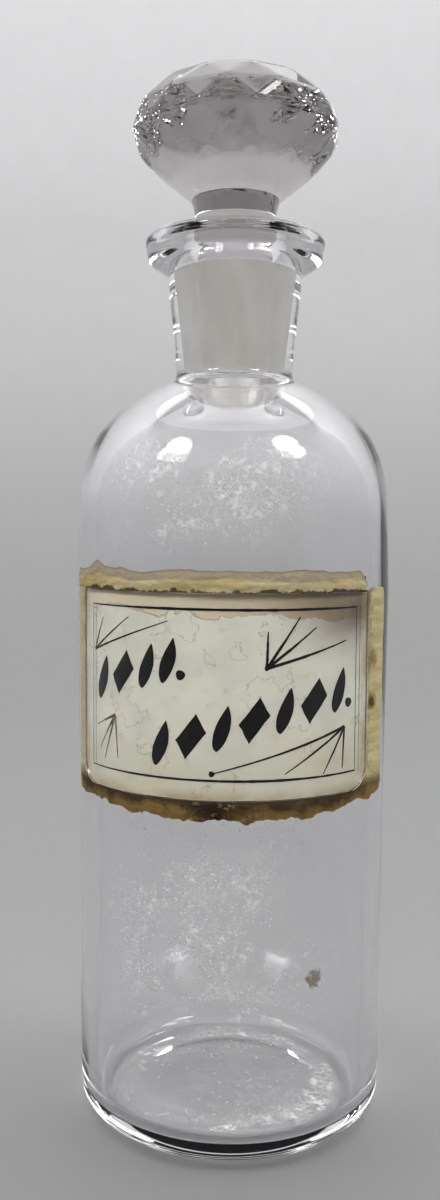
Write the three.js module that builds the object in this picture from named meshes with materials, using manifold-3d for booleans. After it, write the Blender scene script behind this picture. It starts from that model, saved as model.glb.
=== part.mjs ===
// A stoppered pharmacy bottle with a label under glass.
// Millimetres, +Z up, origin in the middle of the base, the label faces -Y.
import * as THREE from "three";
import Module from "manifold-3d";

// ---- Driving dimensions ----

const SEGMENTS = 72; // facets round every turned surface, so that neighbours share them
const CURVE_STEPS = 6; // points on each rounded stretch of an outline
const HEAD_FACETS = 12; // pressed facets round the stopper's head

const base = {
  footInner: 22.5, // the bottle stands on a flat ring from here out to the heel
  pushUp: 2.2, // how far the middle of the underside is pushed up
  heel: 6, // radius of the rounded heel
  floorThickness: 3.4,
  floorFillet: 4.5,
};

const body = {
  heelRadius: 34.2,
  lowRadius: 34.5,
  lowHeight: 70,
  labelRadius: 35.1,
  labelHeight: 118,
  wall: 3.8,
};

const shoulder = {
  start: 132, // height where the straight wall ends
  radius: 34.7,
  top: 164, // height where it meets the neck
};

const neck = {
  rootRadius: 13,
  topRadius: 14.9,
  top: 186.6,
};

const lip = {
  radius: 20,
  cornerRadius: 19.2, // the sloping underside meets the rim here
  corner: 190,
  widest: 193.9,
  top: 195.3,
  roundness: 1.3, // how far the rounded top edge reaches in from the lip's radius
};

const throat = {
  bottom: 163.6,
  bottomRadius: 7.2,
  groundTop: 190.4, // the ground cone ends here and the mouth opens out
  topRadius: 9.2,
  mouthRadius: 10.8,
  innerShoulderRadius: 9.8,
  innerShoulderTop: 160.4,
};

const plug = {
  clearance: 0.1, // between the plug and the throat, all round
  bottom: 165, // the plug ends just above the bottom of the throat
  bevel: 0.8,
};

const waist = {
  radius: 9.1,
  height: 200.6,
};

// The facetted head, as rings of corners. Every other ring is turned by half a facet.
const headRings = [
  { height: 203.4, radius: 9.8 },
  { height: 208.4, radius: 16 },
  { height: 213, radius: 21.2 },
  { height: 217.6, radius: 23.4 },
  { height: 222.6, radius: 22.2 },
  { height: 227.4, radius: 17.4 },
  { height: 230.6, radius: 9.2 },
];

// Angles in degrees, counted from the middle of the label towards +X.
const label = {
  halfAngle: 60.5,
  low: 76.7,
  high: 118,
  paneOuter: 34.9,
  paneInner: 33.95,
  sheetOuter: 33.85,
  sheetInner: 33.65,
  edgeGap: 0.25,
};

const cement = {
  left: -67,
  right: 74,
  low: 72.8,
  high: 122.3,
  outer: 34.85,
  bedOuter: 33.55,
  bedInner: 33.3,
  missingFrom: 58, // the top right corner has fallen out, beyond this angle
  missingAbove: 118.4,
};

const recess = {
  floor: 33.2,
  gap: 0.2, // between the recess's walls and the cement
};

// ---- Outline helpers: every outline is a list of [radius, height] ----

const wasm = await Module();
wasm.setup();
const { Manifold, CrossSection } = wasm;

function arc(centre, across, up, from, to, steps = CURVE_STEPS) {
  const points = [];
  for (let i = 0; i <= steps; i += 1) {
    const angle = THREE.MathUtils.degToRad(from + ((to - from) * i) / steps);
    points.push([centre[0] + across * Math.cos(angle), centre[1] + up * Math.sin(angle)]);
  }
  return points;
}

function bezier(start, pullStart, pullEnd, end, steps = CURVE_STEPS) {
  const corners = [start, pullStart, pullEnd, end].map(([r, z]) => new THREE.Vector2(r, z));
  const curve = new THREE.CubicBezierCurve(...corners);
  return curve.getPoints(steps).map((point) => [point.x, point.y]);
}

function turned(outline) {
  return Manifold.revolve([outline], SEGMENTS);
}

function tube(inner, outer, low, high) {
  return turned([
    [inner, low],
    [outer, low],
    [outer, high],
    [inner, high],
  ]);
}

// The piece of a tube between two angles from the middle of the label.
function curvedPanel({ inner, outer, low, high, left, right }) {
  const reach = 2 * outer;
  const corners = [[0, 0]];
  for (let i = 0; i <= CURVE_STEPS; i += 1) {
    const angle = THREE.MathUtils.degToRad(left + ((right - left) * i) / CURVE_STEPS);
    corners.push([reach * Math.sin(angle), -reach * Math.cos(angle)]);
  }
  const wedge = new CrossSection([corners]).extrude(high - low).translate([0, 0, low]);
  return tube(inner, outer, low, high).intersect(wedge);
}

// ---- Sub-parts ----

function outsideOfBottle() {
  const { heel } = base;
  const shoulderCurve = bezier(
    [shoulder.radius, shoulder.start],
    [shoulder.radius - 0.3, shoulder.start + 18],
    [shoulder.radius - 5.2, shoulder.top - 7],
    [neck.rootRadius, shoulder.top],
    2 * CURVE_STEPS,
  );
  const neckCurve = bezier(
    [neck.rootRadius, shoulder.top + 1.2],
    [neck.rootRadius + 0.2, shoulder.top + 8],
    [neck.topRadius - 0.6, neck.top - 8],
    [neck.topRadius, neck.top],
  );
  const topEdgeCentre = [lip.radius - lip.roundness, lip.widest];
  return [
    [0, base.pushUp],
    [base.footInner * 0.6, base.pushUp * 0.64],
    [base.footInner, 0],
    ...arc([body.heelRadius - heel, heel], heel, heel, -90, 0),
    [body.lowRadius, body.lowHeight],
    [body.labelRadius, body.labelHeight],
    ...shoulderCurve,
    ...neckCurve,
    [neck.topRadius + 0.5, neck.top + 0.8],
    [lip.cornerRadius, lip.corner],
    ...arc(topEdgeCentre, lip.roundness, lip.top - lip.widest, 0, 90),
  ];
}

function insideOfBottle() {
  const { wall } = body;
  const fillet = base.floorFillet;
  const wallFoot = body.heelRadius - wall;
  const innerShoulder = bezier(
    [throat.innerShoulderRadius, throat.innerShoulderTop],
    [shoulder.radius - wall - 4.8, shoulder.top - wall - 7],
    [shoulder.radius - wall - 0.3, shoulder.start + 15],
    [shoulder.radius - wall, shoulder.start],
    2 * CURVE_STEPS,
  );
  return [
    [throat.mouthRadius, lip.top - 1],
    [throat.topRadius, throat.groundTop],
    [throat.bottomRadius, throat.bottom],
    ...innerShoulder,
    [body.labelRadius - wall, body.labelHeight],
    [body.lowRadius - wall, body.lowHeight],
    ...arc([wallFoot - fillet, base.floorThickness + fillet], fillet, fillet, 0, -90),
    [base.footInner, base.floorThickness],
    [0, base.floorThickness + base.pushUp * 0.9],
  ];
}

function makeBottle() {
  const mouthEdge = [throat.mouthRadius + 1.2, lip.top];
  const glass = turned([...outsideOfBottle(), mouthEdge, ...insideOfBottle()]);
  const labelRecess = curvedPanel({
    inner: recess.floor,
    outer: body.labelRadius + 2,
    low: cement.low - recess.gap,
    high: cement.high + recess.gap,
    left: cement.left - 0.5,
    right: cement.right + 0.5,
  });
  return glass.subtract(labelRecess);
}

function throatRadiusAt(height) {
  const share = (height - throat.bottom) / (throat.groundTop - throat.bottom);
  return throat.bottomRadius + share * (throat.topRadius - throat.bottomRadius);
}

function makeStopper() {
  const plugBottomRadius = throatRadiusAt(plug.bottom) - plug.clearance;
  const shank = turned([
    [0, plug.bottom],
    [plugBottomRadius - plug.bevel, plug.bottom],
    [plugBottomRadius, plug.bottom + plug.bevel],
    [throatRadiusAt(throat.groundTop) - plug.clearance, throat.groundTop],
    [waist.radius - 0.5, throat.groundTop + 5],
    [waist.radius, waist.height],
    [headRings[0].radius, headRings[0].height],
    [headRings[1].radius * 0.6, headRings[1].height],
    [0, headRings[1].height],
  ]);
  const corners = headRings.flatMap(({ height, radius }, ring) =>
    Array.from({ length: HEAD_FACETS }, (_, i) => {
      const angle = (2 * Math.PI * (i + 0.5 * (ring % 2))) / HEAD_FACETS;
      return [radius * Math.cos(angle), radius * Math.sin(angle), height];
    }),
  );
  return shank.add(Manifold.hull(corners));
}

const paneEdges = {
  low: label.low,
  high: label.high,
  left: -label.halfAngle,
  right: label.halfAngle,
};

function makeLabelPane() {
  return curvedPanel({ inner: label.paneInner, outer: label.paneOuter, ...paneEdges });
}

function makeLabelSheet() {
  return curvedPanel({ inner: label.sheetInner, outer: label.sheetOuter, ...paneEdges });
}

function makeLabelCement() {
  const { left, right, low, high, outer, bedInner, bedOuter } = cement;
  const gapAngle = THREE.MathUtils.radToDeg(label.edgeGap / label.paneOuter);
  const whole = curvedPanel({ inner: bedInner, outer, low, high, left, right });
  const pocket = curvedPanel({
    inner: bedOuter,
    outer: outer + 1,
    low: label.low - label.edgeGap,
    high: label.high + label.edgeGap,
    left: -label.halfAngle - gapAngle,
    right: label.halfAngle + gapAngle,
  });
  const missingCorner = curvedPanel({
    inner: bedInner - 1,
    outer: outer + 1,
    low: cement.missingAbove,
    high: high + 1,
    left: cement.missingFrom,
    right: right + 1,
  });
  return whole.subtract(pocket).subtract(missingCorner);
}

// ---- Materials and the finished group ----

function glass(color, opacity) {
  return new THREE.MeshStandardMaterial({
    color,
    roughness: 0.08,
    metalness: 0,
    transparent: true,
    opacity,
    side: THREE.DoubleSide,
  });
}

function matt(color) {
  return new THREE.MeshStandardMaterial({ color, roughness: 0.85, metalness: 0 });
}

function meshOf(name, solid, material) {
  const { vertProperties, triVerts } = solid.getMesh();
  const geometry = new THREE.BufferGeometry();
  geometry.setAttribute("position", new THREE.BufferAttribute(vertProperties, 3));
  geometry.setIndex(new THREE.BufferAttribute(triVerts, 1));
  const facetted = geometry.toNonIndexed();
  facetted.computeVertexNormals();
  const mesh = new THREE.Mesh(facetted, material);
  mesh.name = name;
  return mesh;
}

const medicineBottle = new THREE.Group();
medicineBottle.name = "medicine_bottle";
medicineBottle.add(
  meshOf("bottle", makeBottle(), glass(0xdfe3e6, 0.35)),
  meshOf("stopper", makeStopper(), glass(0xcfc8cc, 0.45)),
  meshOf("label_pane", makeLabelPane(), glass(0xeef0ee, 0.25)),
  meshOf("label_sheet", makeLabelSheet(), matt(0xc9c7ba)),
  meshOf("label_cement", makeLabelCement(), matt(0x9b8346)),
);

export default medicineBottle;
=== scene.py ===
"""Looks of the stoppered medicine bottle: glass, label, cement, stains, light and camera.

Lengths are in millimetres until point() turns them into metres. The label faces -Y, and a
place on it is (s, z): s is the distance round the bottle from the label's middle line.
"""

import math
import random

import bmesh
import bpy
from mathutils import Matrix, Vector, noise


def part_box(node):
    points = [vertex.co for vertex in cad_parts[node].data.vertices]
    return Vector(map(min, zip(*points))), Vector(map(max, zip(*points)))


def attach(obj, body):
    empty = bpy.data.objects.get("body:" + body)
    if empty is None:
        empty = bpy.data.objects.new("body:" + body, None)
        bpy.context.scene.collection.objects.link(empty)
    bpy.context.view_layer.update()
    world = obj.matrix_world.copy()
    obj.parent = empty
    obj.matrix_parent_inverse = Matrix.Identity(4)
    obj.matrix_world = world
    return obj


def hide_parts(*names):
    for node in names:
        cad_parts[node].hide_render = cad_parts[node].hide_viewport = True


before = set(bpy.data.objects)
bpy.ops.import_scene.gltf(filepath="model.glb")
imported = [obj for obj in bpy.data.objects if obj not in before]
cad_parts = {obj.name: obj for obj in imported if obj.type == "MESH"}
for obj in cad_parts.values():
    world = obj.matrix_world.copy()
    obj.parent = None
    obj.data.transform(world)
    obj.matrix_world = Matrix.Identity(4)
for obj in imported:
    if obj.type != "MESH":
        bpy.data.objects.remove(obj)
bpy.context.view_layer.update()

# ---- Driving dimensions, read from the frame where it has them ----

MM = 0.001
bottle_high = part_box("bottle")[1] / MM
stopper_low, stopper_high = (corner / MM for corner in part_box("stopper"))
pane_low, pane_high = (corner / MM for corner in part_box("label_pane"))
cement_low, cement_high = (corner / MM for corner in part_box("label_cement"))

BODY_RADIUS = bottle_high.x
WALL = 3.8
HEEL_RADIUS, HEEL_ROUND = BODY_RADIUS - 0.9, 6.0
LOW_RADIUS, LOW_HEIGHT = BODY_RADIUS - 0.6, 70.0
LABEL_HEIGHT = 118.0
FOOT_INNER, PUSH_UP, FLOOR_THICKNESS, FLOOR_FILLET = 22.5, 2.2, 3.4, 4.5
SHOULDER_RADIUS, SHOULDER_START, SHOULDER_TOP = BODY_RADIUS - 0.4, 132.0, 164.0
NECK_ROOT, NECK_RADIUS, NECK_TOP = 13.0, 14.9, 186.6
LIP_RADIUS, LIP_WIDEST, LIP_TOP, LIP_ROUND = 20.0, 193.9, bottle_high.z, 1.3
LIP_CORNER, LIP_CORNER_RADIUS = 190.0, 19.2  # the sloping underside meets the rim here
MOUTH_RADIUS = 10.8
THROAT_BOTTOM, THROAT_BOTTOM_RADIUS = 163.6, 7.2
GROUND_TOP, GROUND_TOP_RADIUS = 190.4, 9.2
INNER_SHOULDER_RADIUS, INNER_SHOULDER_TOP = 9.8, 160.4

PLUG_CLEARANCE, PLUG_BEVEL = 0.1, 0.8
WAIST_RADIUS, WAIST_HEIGHT = 9.1, 200.6
HEAD_FACETS = 12
HEAD_RINGS = [
    (9.8, 203.4),
    (16.0, 208.4),
    (21.2, 213.0),
    (23.4, 217.6),
    (22.2, 222.6),
    (17.4, 227.4),
    (9.2, stopper_high.z),
]

LABEL_RADIUS = 34.0  # distances round the label are measured at this radius
PANE_OUTER, PANE_THICKNESS = -pane_low.y, 0.95
PANE_HALF = LABEL_RADIUS * math.asin(pane_high.x / PANE_OUTER)
SHEET_OUTER, SHEET_INNER = 33.85, 33.65
CEMENT_OUTER, BED_OUTER, BED_INNER = 34.85, 33.55, 33.3
CEMENT_LEFT = LABEL_RADIUS * math.asin(cement_low.x / CEMENT_OUTER)
CEMENT_RIGHT = LABEL_RADIUS * math.asin(cement_high.x / CEMENT_OUTER)
CORNER_LEFT, CORNER_BELOW = 34.4, 118.4  # the cement's missing corner starts here
CEMENT_BUMPS = [(-29.1, 1.6, 2.6), (-20.5, 0.6, 2.2)]  # on its top: middle, rise and reach
RECESS_FLOOR, RECESS_SLOPE = 33.2, 0.6  # the slope is the width of its sloping rim
# The recess ends inside the cement's edge, because the cement is smeared out over its rim.
RECESS_LOW, RECESS_HIGH = pane_low.z - 0.2, cement_high.z - 1.7
RECESS_LEFT, RECESS_RIGHT = CEMENT_LEFT + 1.2, CEMENT_RIGHT - 1.2
NOTCH_LEFT, NOTCH_BELOW = CORNER_LEFT - 1, CORNER_BELOW - 0.8  # its filled-in corner

UV_UNIT = 100  # millimetres to one unit of the label's UV map, on which its paint is placed
SIDE_EDGE = PANE_HALF / UV_UNIT
LOW_EDGE, TOP_EDGE = pane_low.z / UV_UNIT, pane_high.z / UV_UNIT

SEGMENTS = 192
WARP = 0.3  # how far the blown wall's inside wanders


# ---- Small geometry helpers ----


def point(radius, angle, height):
    """A place round the bottle's axis, in metres. Angle 0 is the middle of the label."""
    return Vector((radius * math.sin(angle), -radius * math.cos(angle), height)) * MM


def arc(centre, across, up, start, end, steps):
    angles = [math.radians(start + (end - start) * i / steps) for i in range(steps + 1)]
    return [(centre[0] + across * math.cos(a), centre[1] + up * math.sin(a)) for a in angles]


def bezier(corners, steps):
    points = []
    for i in range(steps + 1):
        t = i / steps
        weights = ((1 - t) ** 3, 3 * t * (1 - t) ** 2, 3 * t * t * (1 - t), t**3)
        points.append(tuple(sum(w * c[k] for w, c in zip(weights, corners)) for k in (0, 1)))
    return points


def line(start, end, steps):
    """The points after start, up to and with end."""
    return [
        tuple(a + (b - a) * i / steps for a, b in zip(start, end)) for i in range(1, steps + 1)
    ]


def ragged(position, size, seed, depth=4):
    """Smooth random wandering along a line, about -1 to 1, with detail down from size."""
    return noise.fractal(Vector((position / size, seed, 0.5)), 0.8, 2.1, depth)


def smooth(value, low, high):
    share = max(0.0, min(1.0, (value - low) / (high - low)))
    return share * share * (3 - 2 * share)


def hump(value, middle, reach, power=2):
    """1 in the middle, falling smoothly to nothing well beyond its reach."""
    return math.exp(-(((value - middle) / reach) ** power))


def ring_points(radius, height, count):
    return [point(radius, 2 * math.pi * i / count, height) for i in range(count)]


def link_mesh(name, mesh, materials):
    for material in materials:
        mesh.materials.append(material)
    obj = bpy.data.objects.new(name, mesh)
    bpy.context.scene.collection.objects.link(obj)
    return obj


def finish_mesh(name, verts, faces, materials, face_materials=None, sharp=40):
    """A smooth shaded object with an edge left sharp where it turns by more than sharp."""
    mesh = bpy.data.meshes.new(name)
    mesh.from_pydata(verts, [], faces)
    obj = link_mesh(name, mesh, materials)
    if face_materials:
        mesh.polygons.foreach_set("material_index", face_materials)
    mesh.polygons.foreach_set("use_smooth", [True] * len(mesh.polygons))
    mesh.set_sharp_from_angle(angle=math.radians(sharp))
    mesh.validate()
    return obj


def bmesh_object(name, bm, materials):
    mesh = bpy.data.meshes.new(name)
    bm.to_mesh(mesh)
    bm.free()
    return link_mesh(name, mesh, materials)


def add_attribute(obj, name, values):
    """One number for each vertex, for a material to read."""
    obj.data.attributes.new(name, "FLOAT", "POINT").data.foreach_set("value", values)


def ring_faces(rings, count, first=0, flip=False):
    """Quads between neighbouring rings of count points. The first ring starts at first."""
    faces = []
    for start in range(first, first + (rings - 1) * count, count):
        for i in range(count):
            a, b = start + i, start + (i + 1) % count
            outward = (a, b, b + count, a + count)
            faces.append((a, a + count, b + count, b) if flip else outward)
    return faces


def disc_faces(rings, count):
    """Faces of a centre point and the rings round it, which face up."""
    middle = [(0, 1 + i, 1 + (i + 1) % count) for i in range(count)]
    return middle + ring_faces(rings, count, 1, flip=True)


def turned_faces(rings, count):
    """Faces of a closed turned shape: a point, the rings after it and one last point."""
    last = 1 + rings * count
    start = last - count
    return [
        *[(0, 1 + (i + 1) % count, 1 + i) for i in range(count)],
        *ring_faces(rings, count, 1),
        *[(start + i, start + (i + 1) % count, last) for i in range(count)],
    ]


# ---- Material helpers ----


def new_material(name, roughness, base=(0.8, 0.8, 0.8), **inputs):
    material = bpy.data.materials.new(name)
    material.use_nodes = True
    shader = material.node_tree.nodes["Principled BSDF"]
    shader.inputs["Base Color"].default_value = (*base, 1)
    shader.inputs["Roughness"].default_value = roughness
    for key, value in inputs.items():
        shader.inputs[key.replace("_", " ")].default_value = value
    return material


class Nodes:
    """Short calls for the nodes of one material."""

    def __init__(self, material):
        self.tree = material.node_tree
        self.shader = self.tree.nodes["Principled BSDF"]

    def add(self, kind, inputs=None, **settings):
        node = self.tree.nodes.new(kind)
        for key, value in settings.items():
            setattr(node, key, value)
        for key, value in (inputs or {}).items():
            self.put(node.inputs[key], value)
        return node

    def put(self, socket, value):
        if isinstance(value, bpy.types.NodeSocket):
            self.tree.links.new(value, socket)
        else:
            socket.default_value = value

    def coordinates(self):
        return self.add("ShaderNodeTexCoord").outputs["Object"]

    def label_place(self):
        """The place on the label as a vector (s, z, 0), in units of UV_UNIT millimetres."""
        return self.add("ShaderNodeUVMap", uv_map="panel").outputs["UV"]

    def noise(self, vector, scale, detail=3.0, roughness=0.55, distortion=0.0):
        inputs = {
            "Vector": vector,
            "Scale": scale,
            "Detail": detail,
            "Roughness": roughness,
            "Distortion": distortion,
        }
        return self.add("ShaderNodeTexNoise", inputs).outputs["Fac"]

    def cells(self, vector, scale):
        """Distance to the nearest border between random cells."""
        node = self.add("ShaderNodeTexVoronoi", {"Vector": vector, "Scale": scale})
        node.feature = "DISTANCE_TO_EDGE"
        return node.outputs["Distance"]

    def math(self, operation, first, second=0.0):
        node = self.add("ShaderNodeMath", {0: first, 1: second}, operation=operation)
        return node.outputs[0]

    def times(self, first, second):
        return self.math("MULTIPLY", first, second)

    def ramp(self, value, low, high, to_low=0.0, to_high=1.0):
        """value from low to high, turned smoothly into to_low to to_high."""
        inputs = {
            "Value": value,
            "From Min": low,
            "From Max": high,
            "To Min": to_low,
            "To Max": to_high,
        }
        node = self.add("ShaderNodeMapRange", inputs, interpolation_type="SMOOTHSTEP")
        return node.outputs["Result"]

    def mix(self, amount, first, second):
        node = self.add("ShaderNodeMix", data_type="RGBA")
        self.put(node.inputs["Factor"], amount)
        self.put(node.inputs["A"], (*first, 1) if isinstance(first, tuple) else first)
        self.put(node.inputs["B"], (*second, 1) if isinstance(second, tuple) else second)
        return node.outputs["Result"]

    def split(self, vector):
        return self.add("ShaderNodeSeparateXYZ", {"Vector": vector}).outputs

    def attribute(self, name):
        return self.add("ShaderNodeAttribute", attribute_name=name).outputs["Fac"]

    def paint(self, colour):
        self.put(self.shader.inputs["Base Color"], colour)

    def bump(self, height, distance, strength=1.0):
        inputs = {"Height": height, "Distance": distance, "Strength": strength}
        self.put(self.shader.inputs["Normal"], self.add("ShaderNodeBump", inputs).outputs[0])


# ---- Materials ----


def clear_glass(name, dark, light, ior=1.5):
    """Old clear glass: its faint cast changes slowly from place to place."""
    material = new_material(name, 0.0, Transmission_Weight=1.0, IOR=ior)
    n = Nodes(material)
    n.paint(n.mix(n.noise(n.coordinates(), 28), dark, light))
    return material


def ground_glass():
    """Glass that was ground with wet sand: frosted all over, with a fine even tooth."""
    material = new_material("ground_glass", 0.6, Transmission_Weight=0.55, IOR=1.5)
    n = Nodes(material)
    place = n.coordinates()
    x, y, z = n.split(place)
    tall = n.add("ShaderNodeCombineXYZ", {"X": x, "Y": y, "Z": n.times(z, 0.35)})
    mottle = n.noise(tall.outputs[0], 190, 5)
    colour = n.mix(n.ramp(mottle, 0.3, 0.7), (0.61, 0.595, 0.565), (0.70, 0.69, 0.66))
    specks = n.ramp(n.noise(place, 700, 2), 0.72, 0.76, 0, 0.5)
    n.paint(n.mix(specks, colour, (0.55, 0.38, 0.24)))
    n.bump(n.noise(place, 3000, 2), 0.0001, 0.4)
    return material


def label_paint():
    """Ivory ground, mottled and tide-marked, with a brown stain in its top right corner."""
    material = new_material("label_paint", 0.7, Specular_IOR_Level=0.1)
    n = Nodes(material)
    place = n.label_place()
    s, z, _ = n.split(place)
    wander = n.noise(place, 9, 6, 0.6)
    colour = n.mix(n.ramp(wander, 0.35, 0.7), (0.75, 0.735, 0.64), (0.66, 0.65, 0.565))
    lower = n.ramp(z, LOW_EDGE + 0.213, LOW_EDGE + 0.053)
    yellow = n.times(n.ramp(n.noise(place, 5, 3), 0.42, 0.62), lower)
    colour = n.mix(n.times(yellow, 0.6), colour, (0.68, 0.58, 0.35))
    aged = n.ramp(z, LOW_EDGE + 0.153, LOW_EDGE + 0.033, 0, 0.6)
    colour = n.mix(aged, colour, (0.60, 0.58, 0.46))
    smudges = n.ramp(n.noise(place, 22, 5, 0.65), 0.56, 0.75, 0, 0.5)
    colour = n.mix(smudges, colour, (0.47, 0.44, 0.38))
    tides = n.math("ABSOLUTE", n.math("SUBTRACT", n.noise(place, 6, 5, 0.55, 0.3), 0.56))
    colour = n.mix(n.ramp(tides, 0.0, 0.006, 0.6, 0), colour, (0.40, 0.33, 0.20))
    fine = n.noise(place, 14, 4, 0.5, 2.5)
    crackle = n.ramp(n.math("ABSOLUTE", n.math("SUBTRACT", fine, 0.5)), 0.0, 0.004, 0.3, 0)
    colour = n.mix(crackle, colour, (0.42, 0.39, 0.33))

    uneven = n.times(n.ramp(n.noise(place, 11, 6, 0.6), 0.3, 0.7), 0.022)
    edge = n.math("ADD", n.math("ADD", z, uneven), n.times(s, 0.028))
    band = n.ramp(edge, TOP_EDGE - 0.034, TOP_EDGE - 0.028)
    tan = n.mix(n.ramp(s, -0.12, 0.2), (0.72, 0.61, 0.42), (0.44, 0.33, 0.19))
    colour = n.mix(n.times(band, 0.8), colour, tan)
    rim = n.math("ABSOLUTE", n.math("SUBTRACT", edge, TOP_EDGE - 0.0315))
    colour = n.mix(n.ramp(rim, 0.0, 0.0022, 0.55, 0), colour, (0.24, 0.17, 0.09))

    stain_starts, stain_full = 0.08, 0.33  # right of the label's middle
    across = n.ramp(s, stain_starts, stain_full)
    height = n.ramp(z, TOP_EDGE - 0.16, TOP_EDGE - 0.03)
    cloud = n.ramp(n.noise(place, 8, 6, 0.6, 0.4), 0.25, 0.6, 0.6, 1.0)
    stain = n.times(n.times(across, height), cloud)
    colour = n.mix(stain, colour, (0.15, 0.105, 0.065))

    side = n.ramp(n.math("ABSOLUTE", s), SIDE_EDGE - 0.035, SIDE_EDGE)
    low = n.ramp(z, LOW_EDGE + 0.025, LOW_EDGE)
    dirt = n.times(n.math("MAXIMUM", low, side), n.ramp(wander, 0.35, 0.6, 0.15, 0.75))
    colour = n.mix(dirt, colour, (0.36, 0.28, 0.15))
    n.paint(colour)
    n.bump(n.noise(place, 60, 4), 0.0002, 0.25)
    return material


def black_paint():
    """Hand-painted black: dense, with thin worn patches."""
    material = new_material("black_paint", 0.5, Specular_IOR_Level=0.1)
    n = Nodes(material)
    worn = n.ramp(n.noise(n.label_place(), 40, 5, 0.7), 0.55, 0.75)
    n.paint(n.mix(worn, (0.006, 0.006, 0.006), (0.03, 0.027, 0.028)))
    return material


def gilt_paint():
    material = new_material("gilt_paint", 0.4, Metallic=0.3)
    n = Nodes(material)
    worn = n.ramp(n.noise(n.label_place(), 30, 4), 0.4, 0.65)
    n.paint(n.mix(worn, (0.36, 0.30, 0.06), (0.10, 0.09, 0.05)))
    return material


def cement():
    """Yellow cement gone brown in places, darkest where it meets the pane and below it."""
    material = new_material("cement", 0.7, Specular_IOR_Level=0.2)
    n = Nodes(material)
    place = n.label_place()
    s, z, _ = n.split(place)
    out = n.attribute("outwards")
    along = n.add("ShaderNodeVectorMath", {0: place, 1: (0.35, 2, 1)}, operation="MULTIPLY")
    streaks = n.noise(along.outputs[0], 26, 6, 0.6)
    patches = n.noise(along.outputs[0], 9, 3)
    colour = n.mix(n.ramp(streaks, 0.3, 0.7), (0.68, 0.545, 0.26), (0.50, 0.375, 0.15))
    colour = n.mix(n.ramp(patches, 0.52, 0.60), colour, (0.70, 0.59, 0.33))
    colour = n.mix(n.ramp(patches, 0.44, 0.38, 0, 0.7), colour, (0.42, 0.30, 0.11))
    right = n.ramp(s, SIDE_EDGE - 0.007, SIDE_EDGE + 0.007)
    olive = n.mix(n.ramp(streaks, 0.35, 0.65), (0.68, 0.59, 0.33), (0.54, 0.46, 0.22))
    colour = n.mix(right, colour, olive)
    left = n.ramp(s, 0.007 - SIDE_EDGE, -0.007 - SIDE_EDGE)
    colour = n.mix(n.times(left, 0.8), colour, (0.52, 0.45, 0.30))

    below = n.ramp(z, LOW_EDGE + 0.033, LOW_EDGE - 0.002)
    depth = n.math("ADD", out, n.ramp(n.noise(place, 13, 6, 0.65), 0.35, 0.65, -0.32, 0.32))
    umber = n.mix(n.ramp(depth, 0.1, 1.0), (0.026, 0.012, 0.003), (0.24, 0.15, 0.04))
    colour = n.mix(n.times(below, 0.97), colour, umber)
    near = n.times(below, n.ramp(n.math("ABSOLUTE", s), 0.09, 0.0))
    crust = n.noise(place, 38, 6, 0.7)
    burnt = n.times(near, n.ramp(crust, 0.36, 0.5))
    colour = n.mix(burnt, colour, (0.02, 0.01, 0.004))
    cream = n.times(n.ramp(crust, 0.47, 0.40), n.times(near, 0.8))
    colour = n.mix(cream, colour, (0.40, 0.30, 0.17))

    above = n.times(n.ramp(z, TOP_EDGE + 0.005, TOP_EDGE + 0.015),
                    n.ramp(n.math("ABSOLUTE", s), SIDE_EDGE + 0.061, SIDE_EDGE + 0.031))
    level = n.math("ADD", out, n.ramp(streaks, 0.3, 0.7, -0.12, 0.12))
    grey = n.times(above, n.ramp(level, 0.50, 0.64))
    colour = n.mix(n.times(grey, 0.9), colour, (0.38, 0.32, 0.23))
    rim = n.times(above, n.ramp(out, 0.9, 1.0))
    colour = n.mix(n.times(rim, 0.5), colour, (0.17, 0.13, 0.08))
    for down, dark in ((0.145, 0.35), (0.235, 0.95)):
        spot = (SIDE_EDGE + 0.019, TOP_EDGE - down, 0)
        away = n.add("ShaderNodeVectorMath", {0: place, 1: spot}, operation="DISTANCE")
        away = away.outputs["Value"]
        away = n.math("ADD", away, n.ramp(crust, 0.3, 0.7, -0.006, 0.006))
        colour = n.mix(n.ramp(away, 0.022, 0.014, 0, 0.75), colour, (0.34, 0.22, 0.07))
        colour = n.mix(n.ramp(away, 0.012, 0.006, 0, dark), colour, (0.10, 0.06, 0.02))

    uneven = n.ramp(n.noise(place, 30, 6, 0.7), 0.3, 0.7, -0.1, 0.16)
    seam = n.ramp(n.math("SUBTRACT", out, uneven), 0.13, 0.03)
    beside = n.ramp(n.math("ABSOLUTE", s), SIDE_EDGE - 0.002, SIDE_EDGE, 0.9, 0.35)
    colour = n.mix(n.times(seam, beside), colour, (0.05, 0.03, 0.018))
    n.paint(colour)
    n.bump(n.noise(place, 90, 6, 0.6), 0.0006, 0.5)
    return material


def deposit_film():
    """Dried salts on the inside of the glass: a fine bright net with specks in it."""
    material = new_material("deposit_film", 0.8)
    n = Nodes(material)
    place = n.coordinates()
    wander = n.add("ShaderNodeTexNoise", {"Vector": place, "Scale": 500.0}).outputs["Color"]
    wander = n.add("ShaderNodeVectorMath", {0: wander, "Scale": 0.002}, operation="SCALE")
    bent = n.add("ShaderNodeVectorMath", {0: place, 1: wander.outputs[0]}, operation="ADD")
    net = n.ramp(n.cells(bent.outputs[0], 620), 0.0, 0.1, 1.0, 0.0)
    curds = n.ramp(n.noise(place, 420, 6, 0.7), 0.50, 0.62)
    spots = n.math("MAXIMUM", n.times(net, 0.6), curds)
    cloud = n.ramp(n.noise(place, 70, 4, 0.6), 0.36, 0.62)
    spots = n.math("ADD", n.times(n.times(spots, cloud), 0.85), 0.15)
    amount = n.times(spots, n.attribute("amount"))
    n.put(n.shader.inputs["Alpha"], amount)
    n.paint(n.mix(n.noise(place, 60), (0.72, 0.72, 0.70), (0.85, 0.85, 0.84)))
    return material


def crystal():
    material = new_material("crystal", 0.4)
    n = Nodes(material)
    n.paint(n.mix(n.noise(n.coordinates(), 900), (0.55, 0.55, 0.52), (0.9, 0.9, 0.88)))
    return material


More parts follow.
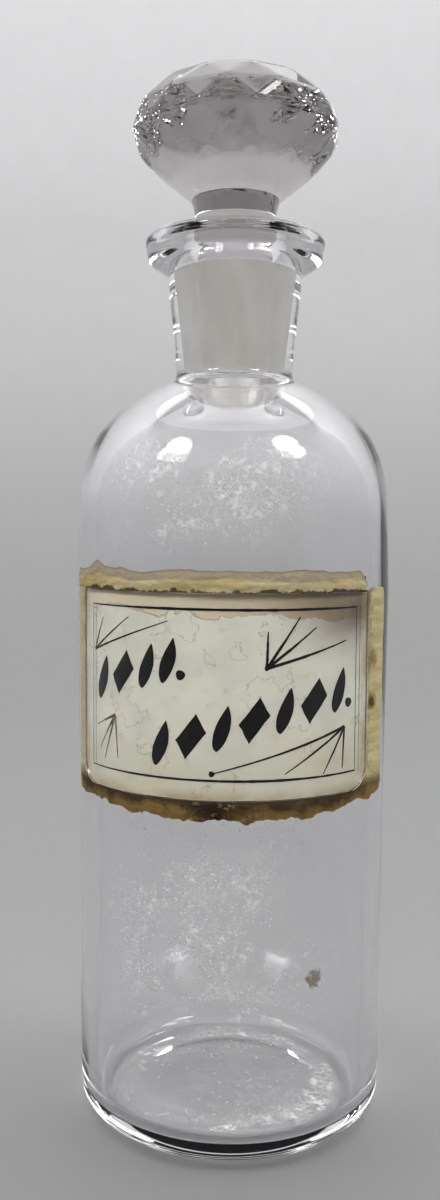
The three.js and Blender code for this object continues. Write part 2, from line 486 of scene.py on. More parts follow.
def ochre_drop():
    """A dried drop, thin and seen through towards its edge."""
    material = new_material("ochre_drop", 0.5)
    n = Nodes(material)
    place = n.coordinates()
    n.paint(n.mix(n.noise(place, 700, 4), (0.10, 0.085, 0.03), (0.20, 0.175, 0.08)))
    uneven = n.ramp(n.noise(place, 900, 3), 0.3, 0.7, -0.2, 0.2)
    edge = n.math("ADD", n.attribute("outwards"), uneven)
    n.put(n.shader.inputs["Alpha"], n.ramp(edge, 1.0, 0.55, 0, 0.93))
    return material


# ---- The glass bottle ----


def outer_wall_radius(height):
    if height < LOW_HEIGHT:
        share = (height - HEEL_ROUND) / (LOW_HEIGHT - HEEL_ROUND)
        return HEEL_RADIUS + share * (LOW_RADIUS - HEEL_RADIUS)
    if height < LABEL_HEIGHT:
        share = (height - LOW_HEIGHT) / (LABEL_HEIGHT - LOW_HEIGHT)
        return LOW_RADIUS + share * (BODY_RADIUS - LOW_RADIUS)
    share = (height - LABEL_HEIGHT) / (SHOULDER_START - LABEL_HEIGHT)
    return BODY_RADIUS + share * (SHOULDER_RADIUS - BODY_RADIUS)


def outside_outline():
    heights = {HEEL_ROUND + 4 * i for i in range(1, 32)} | {LOW_HEIGHT, LABEL_HEIGHT}
    heights |= {RECESS_LOW - RECESS_SLOPE, RECESS_LOW, RECESS_HIGH, RECESS_HIGH + RECESS_SLOPE}
    heights |= {NOTCH_BELOW, NOTCH_BELOW + RECESS_SLOPE}
    wall = [(outer_wall_radius(z), z) for z in sorted(heights) if z < SHOULDER_START]
    shoulder = [
        (SHOULDER_RADIUS, SHOULDER_START),
        (SHOULDER_RADIUS - 0.3, SHOULDER_START + 18),
        (SHOULDER_RADIUS - 5.2, SHOULDER_TOP - 7),
        (NECK_ROOT + 0.6, SHOULDER_TOP - 0.2),
    ]
    neck = [
        (NECK_ROOT, SHOULDER_TOP + 1.2),
        (NECK_ROOT + 0.2, SHOULDER_TOP + 8),
        (NECK_RADIUS - 0.6, NECK_TOP - 8),
        (NECK_RADIUS, NECK_TOP - 0.6),
    ]
    lip_corner = [
        (LIP_CORNER_RADIUS - 1, LIP_CORNER - 0.7),
        (LIP_CORNER_RADIUS - 0.2, LIP_CORNER - 0.1),
        (LIP_CORNER_RADIUS + 0.1, LIP_CORNER),
        (LIP_CORNER_RADIUS + 0.3, LIP_CORNER + 0.9),
    ]
    top_edge = (LIP_RADIUS - LIP_ROUND, LIP_WIDEST)
    kick = [(FOOT_INNER * k / 10, PUSH_UP * (1 - (k / 10) ** 2)) for k in range(10)]
    return [
        *kick,
        (FOOT_INNER, 0),
        (HEEL_RADIUS - HEEL_ROUND, 0),
        *arc((HEEL_RADIUS - HEEL_ROUND, HEEL_ROUND), HEEL_ROUND, HEEL_ROUND, -84, 0, 12),
        *wall,
        *bezier(shoulder, 36),
        *bezier(neck, 12),
        (NECK_RADIUS + 0.15, NECK_TOP + 0.4),
        (NECK_RADIUS + 0.6, NECK_TOP + 0.9),
        *bezier(lip_corner, 6),
        *arc(top_edge, LIP_ROUND, LIP_TOP - LIP_WIDEST, 0, 90, 12),
        (MOUTH_RADIUS + 1.6, LIP_TOP),
    ]


def floor_height(radius):
    rise = 0.9 * PUSH_UP * max(0.0, 1 - (radius / FOOT_INNER) ** 2)
    return FLOOR_THICKNESS + rise


def inside_outline():
    """From the mouth down to the middle of the floor."""
    fillet = (HEEL_RADIUS - WALL - FLOOR_FILLET, FLOOR_THICKNESS + FLOOR_FILLET)
    inner_shoulder = [
        (INNER_SHOULDER_RADIUS, INNER_SHOULDER_TOP),
        (SHOULDER_RADIUS - WALL - 4.8, SHOULDER_TOP - WALL - 7),
        (SHOULDER_RADIUS - WALL - 0.3, SHOULDER_START + 15),
        (SHOULDER_RADIUS - WALL, SHOULDER_START),
    ]
    heights = [SHOULDER_START - 4 * i for i in range(1, 30)]
    wall = [(outer_wall_radius(z) - WALL, z) for z in heights if z > fillet[1]]
    return [
        *arc((MOUTH_RADIUS + 1.6, LIP_TOP - 1.6), 1.6, 1.6, 90, 180, 6)[1:],
        (GROUND_TOP_RADIUS + 0.6, GROUND_TOP + 1.6),
        (GROUND_TOP_RADIUS, GROUND_TOP),
        *line((GROUND_TOP_RADIUS, GROUND_TOP), (THROAT_BOTTOM_RADIUS, THROAT_BOTTOM), 8),
        (THROAT_BOTTOM_RADIUS + 0.5, THROAT_BOTTOM - 1.2),
        *bezier(inner_shoulder, 36),
        *wall,
        *arc(fillet, FLOOR_FILLET, FLOOR_FILLET, 0, -90, 12),
        *[(FOOT_INNER * k / 10, floor_height(FOOT_INNER * k / 10)) for k in range(10, -1, -1)],
    ]


def warp(angle, height):
    """How far the inside of the blown wall is off at a place, nothing at the throat."""
    fade = max(0.0, min(1.0, (SHOULDER_TOP - 8 - height) / 20))
    broad = Vector((1.1 * math.sin(angle), 1.1 * math.cos(angle), height / 60))
    fine = Vector((4 * math.sin(angle), 4 * math.cos(angle), height / 45 + 7))
    return WARP * fade * (noise.noise(broad) + 0.25 * noise.noise(fine))


def ring_angles():
    """Even steps round the bottle, with extra ones where the recess's rim is."""
    angles = [2 * math.pi * i / SEGMENTS - math.pi for i in range(SEGMENTS)]
    for side, slope in ((RECESS_LEFT, -1), (RECESS_RIGHT, 1), (NOTCH_LEFT, 1)):
        angles += [side / LABEL_RADIUS, (side + slope * RECESS_SLOPE) / LABEL_RADIUS]
    return sorted(angles)


def glass_front(s, height):
    """Radius of the glass's outside. The recess has no top right corner."""
    out = max(RECESS_LEFT - s, s - RECESS_RIGHT, RECESS_LOW - height, height - RECESS_HIGH)
    corner = min(s - NOTCH_LEFT, height - NOTCH_BELOW)
    share = max(0.0, min(1.0, max(out, corner) / RECESS_SLOPE))
    return RECESS_FLOOR + share * (outer_wall_radius(height) - RECESS_FLOOR)


def make_bottle(clear, ground):
    outside, inside = outside_outline(), inside_outline()
    rings = outside[1:] + inside[:-1]
    angles = ring_angles()
    verts = [point(0, 0, outside[0][1])]
    even_below = 12  # the inside is even where its radius is less than this
    for row, (radius, height) in enumerate(rings):
        outer = row < len(outside) - 1
        for angle in angles:
            here = radius
            if outer and RECESS_LOW - 0.1 < height < RECESS_HIGH + 0.1:
                here = glass_front(angle * LABEL_RADIUS, height)
            elif not outer and radius > even_below:
                here += warp(angle, height)
            verts.append(point(here, angle, height))
    verts.append(point(0, 0, inside[-1][1]))
    rows = [0] * (len(rings) + 1)
    for row in range(len(outside), len(rings) - 1):
        if THROAT_BOTTOM <= rings[row + 1][1] < rings[row][1] <= GROUND_TOP:
            rows[row + 1] = 1
    slots = [slot for slot in rows for _ in angles]
    faces = turned_faces(len(rings), len(angles))
    return finish_mesh("glass_bottle", verts, faces, [clear, ground], slots, sharp=50)


# ---- The stopper ----


def throat_radius(height):
    share = (height - THROAT_BOTTOM) / (GROUND_TOP - THROAT_BOTTOM)
    return THROAT_BOTTOM_RADIUS + share * (GROUND_TOP_RADIUS - THROAT_BOTTOM_RADIUS)


def shank_outline():
    """From the middle of the plug's underside up to the waist."""
    bottom = stopper_low.z
    low = throat_radius(bottom) - PLUG_CLEARANCE
    high = throat_radius(GROUND_TOP) - PLUG_CLEARANCE
    shank = [
        (high, GROUND_TOP),
        (high + 0.1, GROUND_TOP + 4),
        (WAIST_RADIUS - 0.4, WAIST_HEIGHT - 4),
        (WAIST_RADIUS, WAIST_HEIGHT),
    ]
    return [
        (0, bottom + 0.3),
        (low - 2 * PLUG_BEVEL, bottom),
        *arc((low - PLUG_BEVEL, bottom + PLUG_BEVEL), PLUG_BEVEL, PLUG_BEVEL, -90, 0, 5),
        *line((low, bottom + PLUG_BEVEL), (high, GROUND_TOP), 8),
        *bezier(shank, 8)[1:],
    ]


def facet_corners(ring):
    radius, height = HEAD_RINGS[ring]
    step = 2 * math.pi / HEAD_FACETS
    return [point(radius, (i + 0.5 * (ring % 2)) * step, height) for i in range(HEAD_FACETS)]


def make_shank(clear, ground):
    """The turned lower part, closed inside the head."""
    count = 120
    inside_head = [HEAD_RINGS[0], (HEAD_RINGS[0][0] - 0.5, HEAD_RINGS[1][1] - 1)]
    outline = shank_outline() + inside_head
    verts = [point(0, 0, outline[0][1])]
    for radius, height in outline[1:]:
        verts += ring_points(radius, height, count)
    verts.append(point(0, 0, outline[-1][1]))
    slack = 0.01
    rows = [0] * len(outline)
    for row in range(1, len(outline) - 1):
        above_bevel = outline[row][1] >= stopper_low.z + PLUG_BEVEL - slack
        if above_bevel and outline[row + 1][1] <= GROUND_TOP + slack:
            rows[row] = 1
    slots = [slot for slot in rows for _ in range(count)]
    faces = turned_faces(len(outline) - 1, count)
    return finish_mesh("shank", verts, faces, [clear, ground], slots, sharp=60)


def make_stopper(clear, ground):
    """The facetted head, its edges rounded as fire polishing does, joined to the shank."""
    bm = bmesh.new()
    for ring in range(len(HEAD_RINGS)):
        for corner in facet_corners(ring):
            bm.verts.new(corner)
    bmesh.ops.convex_hull(bm, input=bm.verts)
    bmesh.ops.dissolve_limit(bm, angle_limit=math.radians(1), verts=bm.verts, edges=bm.edges)
    bmesh.ops.bevel(bm, geom=bm.edges[:], offset=0.8 * MM, segments=3, profile=0.5,
                    affect="EDGES", clamp_overlap=True)
    head = bmesh_object("glass_stopper", bm, [clear, ground])
    shank = make_shank(clear, ground)
    join = head.modifiers.new("join", "BOOLEAN")
    join.operation, join.solver, join.object = "UNION", "EXACT", shank
    bpy.context.view_layer.update()
    evaluated = head.evaluated_get(bpy.context.evaluated_depsgraph_get())
    joined = bpy.data.meshes.new_from_object(evaluated)
    head.modifiers.clear()
    head.data = joined
    bpy.data.objects.remove(shank)
    return head


# ---- Curved pieces of the label ----


def curved_slab(name, place, columns, rows, material, sharp=40):
    """A closed curved plate. place(u, v) gives (s, z, front, back) for u and v from 0 to 1."""
    places = [
        place(i / columns, j / rows) for i in range(columns + 1) for j in range(rows + 1)
    ]
    verts = [point(front, s / LABEL_RADIUS, z) for s, z, front, back in places]
    verts += [point(back, s / LABEL_RADIUS, z) for s, z, front, back in places]
    uvs = [(s / UV_UNIT, z / UV_UNIT) for s, z, front, back in places] * 2
    step, half = rows + 1, len(places)
    faces = []
    for i in range(columns):
        for j in range(rows):
            a = i * step + j
            faces.append((a, a + step, a + step + 1, a + 1))
            faces.append((half + a, half + a + 1, half + a + step + 1, half + a + step))
    rim = [i * step for i in range(columns + 1)]
    rim += [columns * step + j for j in range(1, rows + 1)]
    rim += [i * step + rows for i in range(columns - 1, -1, -1)]
    rim += [j for j in range(rows - 1, 0, -1)]
    for a, b in zip(rim, rim[1:] + rim[:1]):
        faces.append((a, half + a, half + b, b))
    obj = finish_mesh(name, verts, faces, [material], sharp=sharp)
    set_panel_uv(obj.data, uvs)
    outwards = [j / rows for i in range(columns + 1) for j in range(rows + 1)] * 2
    add_attribute(obj, "outwards", outwards)
    return obj


def set_panel_uv(mesh, uvs):
    layer = mesh.uv_layers.new(name="panel")
    for loop in mesh.loops:
        layer.data[loop.index].uv = uvs[loop.vertex_index]


def even(u, low, high):
    return low + (high - low) * u


def pane_foot(s, corner=5.5):
    """Height of the pane's lower edge, which has rounded corners."""
    into = max(0.0, min(1.0, (abs(s) - (PANE_HALF - corner)) / corner))
    return pane_low.z + 0.85 * corner * (1 - math.sqrt(1 - into * into))


def make_pane(material):
    """The curved pane. Its ground edges are rounded over and not quite straight."""
    wander, rounding, reach = 0.12, 0.12, 0.5

    def place(u, v):
        s = even(u, -PANE_HALF, PANE_HALF)
        z = even(v, pane_foot(s), pane_high.z)
        z += wander * ragged(s, 9, 3) * (2 * v - 1)
        from_edge = min(u, 1 - u) * 2 * PANE_HALF, min(v, 1 - v) * (pane_high.z - pane_low.z)
        drop = sum(rounding * max(0.0, 1 - d / reach) ** 2 for d in from_edge)
        return s, z, PANE_OUTER - drop, PANE_OUTER - PANE_THICKNESS

    return curved_slab("curved_pane", place, 180, 60, material, 60)


def make_sheet(material):
    inset = 0.05  # the sheet ends just inside the pane's edges

    def place(u, v):
        s = even(u, -PANE_HALF + inset, PANE_HALF - inset)
        z = even(v, pane_foot(s) + inset, pane_high.z - inset)
        return s, z, SHEET_OUTER, SHEET_INNER

    return curved_slab("painted_label", place, 120, 24, material)


def smeared(s, z, v):
    """Front and back of the cement at a place, v from 0 at the pane to 1 at its ragged edge."""
    body = outer_wall_radius(z)
    back = glass_front(s, z) + 0.03
    swell = 0.42 * smooth(v, 0, 0.45) - 0.13 * smooth(v, 0.7, 1)
    lumps = 0.16 * noise.fractal(Vector((s / 3.5, z / 2.5, 2)), 0.7, 2, 5)
    front = body - 0.26 + swell + lumps * (1 - v**4)
    return max(front, back + 0.02), back


def make_cement(material):
    """The bed behind the label and the four ragged strips that show round the pane."""
    gap = 0.12  # between the cement and the pane
    left, right = -PANE_HALF - gap, PANE_HALF + gap
    low, high = pane_low.z - gap, pane_high.z + gap

    def bed(u, v):
        s = even(u, CEMENT_LEFT + 2, CEMENT_RIGHT - 2)
        return s, even(v, pane_low.z, CORNER_BELOW - 0.4), BED_OUTER, BED_INNER

    def top(u, v):
        s = even(u, CEMENT_LEFT - 0.3, CORNER_LEFT + 0.5 * ragged(v * 4, 2, 9))
        swelling = sum(rise * hump(s, middle, reach) for middle, rise, reach in CEMENT_BUMPS)
        edge = cement_high.z + 0.1 + swelling + 0.5 * ragged(s, 9, 1, 6)
        edge -= 2.4 * smooth(s, CORNER_LEFT - 2.6, CORNER_LEFT + 0.5)
        z = even(v, high, edge)
        return s, z, *smeared(s, z, v)

    def bottom(u, v):
        s = even(u, CEMENT_LEFT - 0.3, CEMENT_RIGHT + 0.1)
        away = abs(s + 1) / CEMENT_RIGHT
        edge = cement_low.z - 0.4 + 2.3 * away**2 + 1.1 * ragged(s, 7, 5, 7)
        edge += 0.5 * abs(ragged(s, 2.2, 31, 3))
        z = even(v, pane_foot(s) - gap, edge)
        return s, z, *smeared(s, z, v)

    def left_side(u, v):
        z = even(u, low, high)
        s = even(v, left, CEMENT_LEFT + 0.35 * ragged(z, 5, 12, 5))
        return s, z, *smeared(s, z, v)

    def right_side(u, v):
        z = even(u, low, CORNER_BELOW + 0.5 * ragged(v * 5, 2, 14))
        s = even(v, right, CEMENT_RIGHT + 0.5 * ragged(z, 5, 15, 5))
        return s, z, *smeared(s, z, v)

    strips = [
        ("cement_bed", bed, 90, 12),
        ("cement_top", top, 300, 16),
        ("cement_bottom", bottom, 300, 16),
        ("cement_left", left_side, 140, 12),
        ("cement_right", right_side, 140, 16),
    ]
    pieces = []
    for name, place, columns, rows in strips:
        piece = curved_slab(name, place, columns, rows, material, 70)
        turn_outwards(piece)
        pieces.append(piece)
    return pieces


def turn_outwards(obj):
    bm = bmesh.new()
    bm.from_mesh(obj.data)
    bmesh.ops.recalc_face_normals(bm, faces=bm.faces)
    bm.to_mesh(obj.data)
    bm.free()


# ---- The painted marks ----


class Marks:
    """Flat painted shapes on the front of the label sheet, gathered into one mesh."""

    RADIUS = SHEET_OUTER + 0.04

    def __init__(self):
        self.verts, self.faces, self.uvs, self.slots = [], [], [], []

    def add(self, outline, slot=0):
        """One convex shape, from its corners (s, z) in order."""
        first = len(self.verts)
        for s, z in outline:
            self.verts.append(point(self.RADIUS, s / LABEL_RADIUS, z))
            self.uvs.append((s / UV_UNIT, z / UV_UNIT))
        self.faces.append(tuple(range(first, first + len(outline))))
        self.slots.append(slot)

    def stroke(self, path, width, taper=0.35, slot=0, wobble=0.06):
        """A brush stroke along path, thinner towards its end."""
        steps = 24
        curve = bezier(path, steps)
        sides = []
        for i, (s, z) in enumerate(curve):
            before, after = curve[max(i - 1, 0)], curve[min(i + 1, steps)]
            along = Vector((after[0] - before[0], after[1] - before[1])).normalized()
            half = width / 2 * (1 - (1 - taper) * i / steps)
            half *= 1 + 0.25 * ragged(s + 3 * z, 2, 4)
            s += wobble * ragged(z + s, 3, 6)
            sides.append(((s - along.y * half, z + along.x * half),
                          (s + along.y * half, z - along.x * half)))
        for (a, b), (c, d) in zip(sides, sides[1:]):
            self.add([a, b, d, c], slot)

    def straight(self, start, end, width, **options):
        third = [tuple(a + (b - a) * k / 3 for a, b in zip(start, end)) for k in range(4)]
        self.stroke(third, width, **options)

    def dot(self, centre, radius):
        rim = []
        for i in range(20):
            turn = 2 * math.pi * i / 20
            reach = radius * (1 + 0.06 * math.sin(3 * turn + 1))
            rim.append((centre[0] + reach * math.cos(turn), centre[1] + reach * math.sin(turn)))
        for a, b in zip(rim, rim[1:] + rim[:1]):
            self.add([centre, a, b])

    def blot(self, base, up, halves):
        """A shape round a slanted line from base: halves are its half widths along the line."""
        sides = []
        for i, half in enumerate(halves):
            share = i / (len(halves) - 1)
            s, z = base[0] + SLANT * up * share, base[1] + up * share
            half *= 1 + 0.06 * ragged(s + z, 2, 8)
            sides.append([(s + half * k / 3, z + RISE * half * k / 3) for k in range(-3, 4)])
        for low, high in zip(sides, sides[1:]):
            for k in range(6):
                self.add([low[k], low[k + 1], high[k + 1], high[k]])

    def piece(self, name, materials):
        obj = finish_mesh(name, self.verts, self.faces, materials, self.slots)
        set_panel_uv(obj.data, self.uvs)
        return obj


SLANT, RISE = 0.24, 0.27  # of the painted rows: to the right going up, and up going right


def leaf(share):
    """Half width of a brush-painted leaf, of 1, at a share of its height."""
    return max(0.06, math.sin(math.pi * share**0.8) ** 0.8)


def lozenge(share):
    return max(0.03, 1 - abs(2 * share - 1))


def painted_row(marks, start, shapes, height):
    """A row of bold leaves and lozenges, rising to the right, with a dot at its end."""
    along, gap, steps = 0.0, 1.5, 24
    for shape, width in shapes:
        along += width / 2
        base = (start[0] + along, start[1] + RISE * along)
        marks.blot(base, height, [width / 2 * shape(i / steps) for i in range(steps + 1)])
        along += width / 2 + gap
    marks.dot((start[0] + along + 0.6, start[1] + RISE * along + 1), 1.0)


def fan(marks, apex, reaches, width, slot=0):
    """Straight strokes from one point. Each reach is how far a stroke goes right and up."""
    for right, up in reaches:
        marks.straight(apex, (apex[0] + right, apex[1] + up), width, slot=slot)


def make_marks(black, gilt):
    """A ruled frame, two rows of plain shapes, three black fans of strokes and a gilt one."""
    marks = Marks()
    top, low = pane_high.z - 3.1, pane_low.z + 4.0
    side = PANE_HALF - 4.0
    for z, width in ((top, 0.5), (low, 0.46)):
        marks.straight((-side / 2, z), (-side, z), width, taper=0.45)
        marks.straight((-side / 2, z), (side / 3, z - 0.1), width, taper=1.15)
        marks.straight((side / 3, z - 0.1), (side, z), width * 1.15, taper=0.7)
    for s, width in ((-side, 0.2), (side, 0.2), (side + 1.3, 0.15), (-side + 1.2, 0.12)):
        marks.straight((s, top + 0.3), (s, low - 0.3), width, taper=0.9)
    first = [(leaf, 3.4), (lozenge, 6.2), (leaf, 3.4), (leaf, 3.4)]
    second = [(leaf, 3.4), (lozenge, 6.4)] * 3 + [(leaf, 3.4)]
    tall = 9.2
    painted_row(marks, (-30.4, low + 13.9), first, tall)
    painted_row(marks, (-14.4, low + 1.9), second, tall)
    middle_fan = (10, top - 11.7)
    fan(marks, (-31, top - 9.6), [(3.2, 7), (11.3, 7.5), (20.8, 7.1)], 0.5)
    fan(marks, middle_fan, [(0.2, 7.3), (7, 10.2), (10.7, 8), (18.7, 5)], 0.75)
    gilt_reaches = [(-6.4, -2.8), (-5.4, -7.8), (-3.5, -9.6), (0.9, -8.9)]
    fan(marks, (-23.6, low + 11.5), gilt_reaches, 0.6, slot=1)
    right_fan, longest = (28.4, low + 9.7), (-29.3, -8.4)
    fan(marks, right_fan, [longest, (-14.5, -8.6), (-5.6, -9.3), (-0.5, -8.7)], 0.65)
    marks.dot((right_fan[0] + longest[0], right_fan[1] + longest[1]), 0.6)
    marks.dot(middle_fan, 0.5)
    return marks.piece("painted_marks", [black, gilt])


# ---- Stains inside the glass ----


def inner_radius(height):
    """The inside wall's radius between the floor's fillet and the shoulder."""
    if height <= SHOULDER_START:
        return outer_wall_radius(height) - WALL
    rows = inside_outline()
    above = min((r for r in rows if r[1] >= height), key=lambda r: r[1])
    below = max((r for r in rows if r[1] < height), key=lambda r: r[1])
    share = (height - below[1]) / (above[1] - below[1])
    return below[0] + share * (above[0] - below[0])


def haze(angle, height):
    """How much dried salt is on the inside at a place, from 0 to 1."""
    front = hump(angle, -0.08, 0.75)
    back = hump(abs(angle), math.pi, 0.8)
    low = hump(height, 47, 19, power=4)
    high = hump(height, 138, 11, power=4)
    foot = hump(height, 9, 5)
    return min(1.0, (front + 0.6 * back) * (low + 0.9 * high) + 0.8 * (front + back) * foot)


def make_film(material):
    """A skin just inside the wall that carries the haze."""
    below_label = [8.5 + 3 * i for i in range(22)]
    above_label = [120 + 2.5 * i for i in range(14)]
    heights = below_label + above_label
    columns, gap = 120, 0.12  # the gap is between the skin and the wall
    angles = [2 * math.pi * i / columns - math.pi for i in range(columns)]
    verts, amounts = [], []
    for height in heights:
        for angle in angles:
            radius = inner_radius(height) + warp(angle, height) - gap
            verts.append(point(radius, angle, height))
            amounts.append(haze(angle, height))
    faces = ring_faces(len(below_label), columns, flip=True)
    first_above = len(below_label) * columns
    faces += ring_faces(len(above_label), columns, first_above, flip=True)
    film = finish_mesh("salt_film", verts, faces, [material])
    add_attribute(film, "amount", amounts)
    return film


def make_floor_film(material):
    """The same haze on the bottle's floor, thickest in a ring near the wall."""
    sides, gap = 96, 0.15
    thin, thick = 0.25, 0.9
    radii = [3 * i for i in range(1, 10)]
    verts, amounts = [point(0, 0, floor_height(0) + gap)], [thin]
    for radius in radii:
        verts += ring_points(radius, floor_height(radius) + gap, sides)
        amounts += [thick if 20 < radius < radii[-1] else thin] * sides
    film = finish_mesh("floor_film", verts, disc_faces(len(radii), sides), [material])
    add_attribute(film, "amount", amounts)
    return film


def add_chip(bm, centre, out, size, pick):
    """A tiny flat crystal lying against the glass."""
    across = out.orthogonal().normalized()
    along = out.cross(across)
    turn = pick.uniform(0, math.pi)
    first = across * math.cos(turn) + along * math.sin(turn)
    second = out.cross(first)
    long, short, thick = size * pick.uniform(0.8, 1.6), size, size * 0.25
    tips = [first * long, second * short, -first * long * 0.8, -second * short * 0.9]
    rim = [bm.verts.new(centre + tip) for tip in tips]
    top, bottom = bm.verts.new(centre + out * thick), bm.verts.new(centre - out * thick)
    for a, b in zip(rim, rim[1:] + rim[:1]):
        bm.faces.new((a, b, top))
        bm.faces.new((b, a, bottom))


def make_crystals(material):
    """Loose crystals in five patches on the wall, and scattered over the floor."""
    pick = random.Random(11)
    bm = bmesh.new()
    patches = [  # angle and its spread, height and its spread, how many
        (-0.55, 0.1, 48, 10, 260),
        (0.05, 0.22, 54, 8, 300),
        (0.1, 0.5, 37, 6, 120),
        (math.pi, 0.7, 10, 2.0, 140),
        (0.05, 0.25, 137, 5, 110),
    ]
    lowest, highest, floor_reach, floor_count = 9, 150, 25, 170
    for middle, width, height, reach, count in patches:
        for _ in range(count):
            angle = pick.gauss(middle, width)
            z = min(max(pick.gauss(height, reach), lowest), highest)
            out = point(1, angle, 0).normalized()
            radius = inner_radius(z) + warp(angle, z) - 0.25
            add_chip(bm, point(radius, angle, z), out, pick.uniform(0.07, 0.22) * MM, pick)
    for _ in range(floor_count):
        radius = floor_reach * math.sqrt(pick.random())
        place = point(radius, pick.uniform(-math.pi, math.pi), floor_height(radius) + 0.1)
        add_chip(bm, place, Vector((0, 0, 1)), pick.uniform(0.1, 0.32) * MM, pick)
    return bmesh_object("salt_crystals", bm, [material])


def make_drop(material):
    """A dried ochre drop on the inside of the wall, low on the right of the front."""
    angle, height, size = 0.675, 37.8, 2.3
    rings, sides = 5, 28
    radius = inner_radius(height) + warp(angle, height)
    verts, outwards = [point(radius - 0.45, angle, height)], [0.0]
    for ring in range(1, rings + 1):
        share = ring / rings
        for i in range(sides):
            turn = 2 * math.pi * i / sides
            reach = size * share * (1 + 0.22 * ragged(math.cos(turn) * 3, 2, 21 + math.sin(turn)))
            rise = 0.3 * (1 - share**2)
            outwards.append(share)
            verts.append(point(radius - 0.15 - rise, angle + reach * math.cos(turn) / radius,
                               height + 1.15 * reach * math.sin(turn)))
    drop = finish_mesh("dried_drop", verts, disc_faces(rings, sides), [material])
    add_attribute(drop, "outwards", outwards)
    return drop


# ---- Floor, light and camera ----


def studio_paint():
    """Pale grey, with painted light that makes it lighter up the wall in front of the camera, and
    painted shade that makes it darker behind it.
    """
    material = new_material("studio_floor", 0.7)
    n = Nodes(material)
    place = n.coordinates()
    _, y, z = n.split(place)
    grain = n.ramp(n.noise(place, 40, 4), 0.3, 0.7, 0, 0.04)
    # painted light: the grey grows lighter from the floor up the wall
    pale = n.mix(n.ramp(z, 0.0, 0.55), (0.36, 0.36, 0.36), (0.86, 0.86, 0.865))
    # painted shade: the floor and wall behind the camera are painted darker
    shade = n.mix(n.ramp(y, -0.25, -0.6), pale, (0.19, 0.19, 0.19))
    n.paint(n.mix(grain, shade, (0.4, 0.4, 0.4)))
    return material


def make_studio():
    """A round pale floor that curves up into a wall."""
    flat, curve, top = 500, 450, 1300
    floor = -0.05  # just below the base, so that the two don't share a plane
    outline = [(radius, floor) for radius in (60, 120, 250)]
    outline += arc((flat, curve + floor), curve, curve, -90, 0, 24)
    outline.append((flat + curve, top))
    sides = 96
    verts = []
    for radius, height in outline:
        verts += ring_points(radius, height, sides)
    faces = [tuple(range(sides)), *ring_faces(len(outline), sides)]
    studio = finish_mesh("studio", verts, faces, [studio_paint()])
    return studio


def all_but(name, objects):
    """A light linking collection that leaves these objects out."""
    others = bpy.data.collections.new(name)
    for obj in objects:
        others.objects.link(obj)
    for member in others.collection_objects:
        member.light_linking.link_state = "EXCLUDE"
    return others


def add_lamp(name, place, size, power, mirrored=True, colour=(1, 1, 1)):
    """A soft lamp aimed at the label. One that isn't mirrored leaves no highlight."""
    light = bpy.data.lights.new(name, "AREA")
    light.shape = "ELLIPSE"
    light.size, light.size_y = size
    light.energy = power
    light.color = colour
    obj = bpy.data.objects.new(name, light)
    obj.location = place
    away = Vector(place) - Vector((0, 0, (pane_low.z + pane_high.z) / 2 * MM))
    obj.rotation_euler = away.to_track_quat("Z", "Y").to_euler()
    obj.visible_camera = False
    obj.visible_transmission = False
    obj.visible_glossy = mirrored
    bpy.context.scene.collection.objects.link(obj)
    return obj


def make_lights(studio, see_through):
    """The overhead lamp lights the studio. The others light the bottle, through its glass."""
    lamps = [
        add_lamp("front_left", (-0.42, -0.72, 0.72), (0.6, 0.6), 0.6, mirrored=False),
        add_lamp("front_right", (0.5, -0.68, 0.72), (0.5, 0.5), 0.6, mirrored=False),
        add_lamp("left_lamp", (-0.6, -0.635, 0.86), (0.36, 0.36), 4.6),
        add_lamp("right_lamp", (0.66, -0.5, 0.93), (0.36, 0.3), 3.6),
        add_lamp("warm_lamp", (0.18, -0.64, 1.09), (0.03, 0.02), 0.08, colour=(1, 0.55, 0.2)),
    ]
    but_studio = all_but("all_but_studio", [studio])
    but_glass = all_but("all_but_glass", see_through)
    for lamp in lamps:
        lamp.light_linking.receiver_collection = but_studio
        lamp.light_linking.blocker_collection = but_glass
    add_lamp("overhead", (0.0, 0.1, 1.25), (1.6, 1.6), 13)
    world = bpy.data.worlds.new("studio_world")
    world.use_nodes = True
    world.node_tree.nodes["Background"].inputs["Color"].default_value = (0.97, 0.98, 1.0, 1)
    world.node_tree.nodes["Background"].inputs["Strength"].default_value = 0.3
    bpy.context.scene.world = world


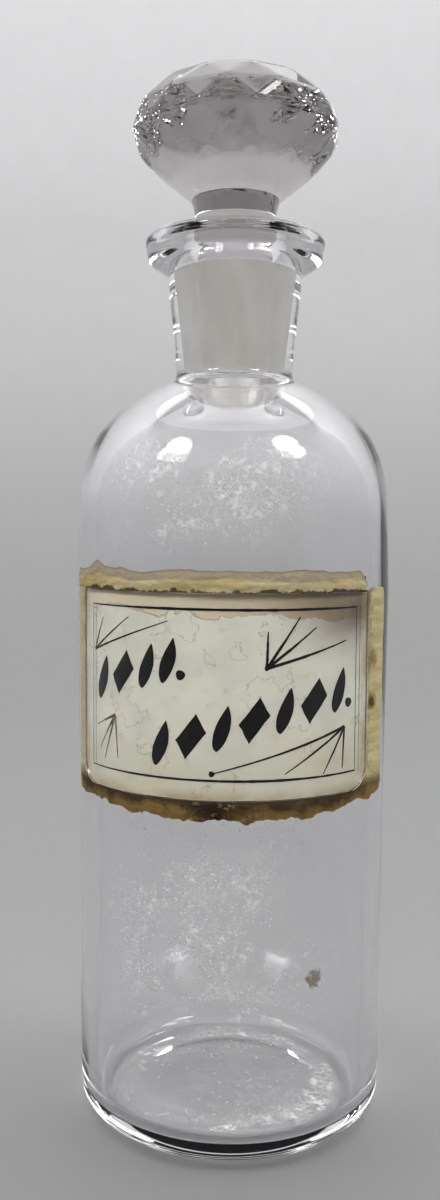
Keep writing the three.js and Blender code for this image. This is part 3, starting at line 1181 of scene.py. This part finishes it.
def make_camera():
    """A close view from just above the label's top edge, a little to the label's right."""
    camera = bpy.data.cameras.new("camera")
    camera.lens, camera.sensor_width = 33.1, 36.0
    obj = bpy.data.objects.new("camera", camera)
    distance, height = 250.95, 130.41  # from the bottle's axis, and above the floor
    around, turn = math.radians(5.12), math.radians(5.8)
    pitch, roll = math.radians(3.59), math.radians(0.4)
    obj.location = point(distance, around, height)
    obj.rotation_euler = (math.pi / 2 - pitch, -roll, turn)
    bpy.context.scene.collection.objects.link(obj)
    bpy.context.scene.camera = obj


# ---- Put it together ----


def ride(obj, body, slot, *nodes):
    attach(obj, body)
    if nodes:
        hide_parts(*nodes)


def build():
    make_camera()
    ground = ground_glass()
    clear = clear_glass("clear_glass", (0.955, 0.95, 0.965), (0.985, 0.985, 0.99))
    lilac = clear_glass("stopper_glass", (0.55, 0.515, 0.52), (0.65, 0.61, 0.62))
    thin = clear_glass("pane_glass", (0.97, 0.975, 0.965), (0.99, 0.99, 0.985), ior=1.3)
    bottle = make_bottle(clear, ground)
    ride(bottle, "bottle", "clear_glass", "bottle")
    stopper = make_stopper(lilac, ground)
    ride(stopper, "stopper", "stopper_glass", "stopper")
    pane = make_pane(thin)
    ride(pane, "bottle", "pane_glass", "label_pane")
    ride(make_sheet(label_paint()), "bottle", "label_paint", "label_sheet")
    ride(make_marks(black_paint(), gilt_paint()), "bottle", "label_paint")
    for piece in make_cement(cement()):
        ride(piece, "bottle", "cement", "label_cement")
    film = deposit_film()
    skins = [make_film(film), make_floor_film(film), make_crystals(crystal())]
    for skin in skins:
        ride(skin, "bottle", "clear_glass")
    ride(make_drop(ochre_drop()), "bottle", "cement")
    make_lights(make_studio(), [bottle, stopper, pane, *skins])


def set_colours_and_bounces():
    """The thick glass needs many bounces. How dark its heel is depends on the glossy ones."""
    scene = bpy.context.scene
    scene.view_settings.view_transform = "Standard"
    scene.cycles.max_bounces = 32
    scene.cycles.transmission_bounces = 32
    scene.cycles.glossy_bounces = 6
    scene.cycles.transparent_max_bounces = 16


build()
set_colours_and_bounces()
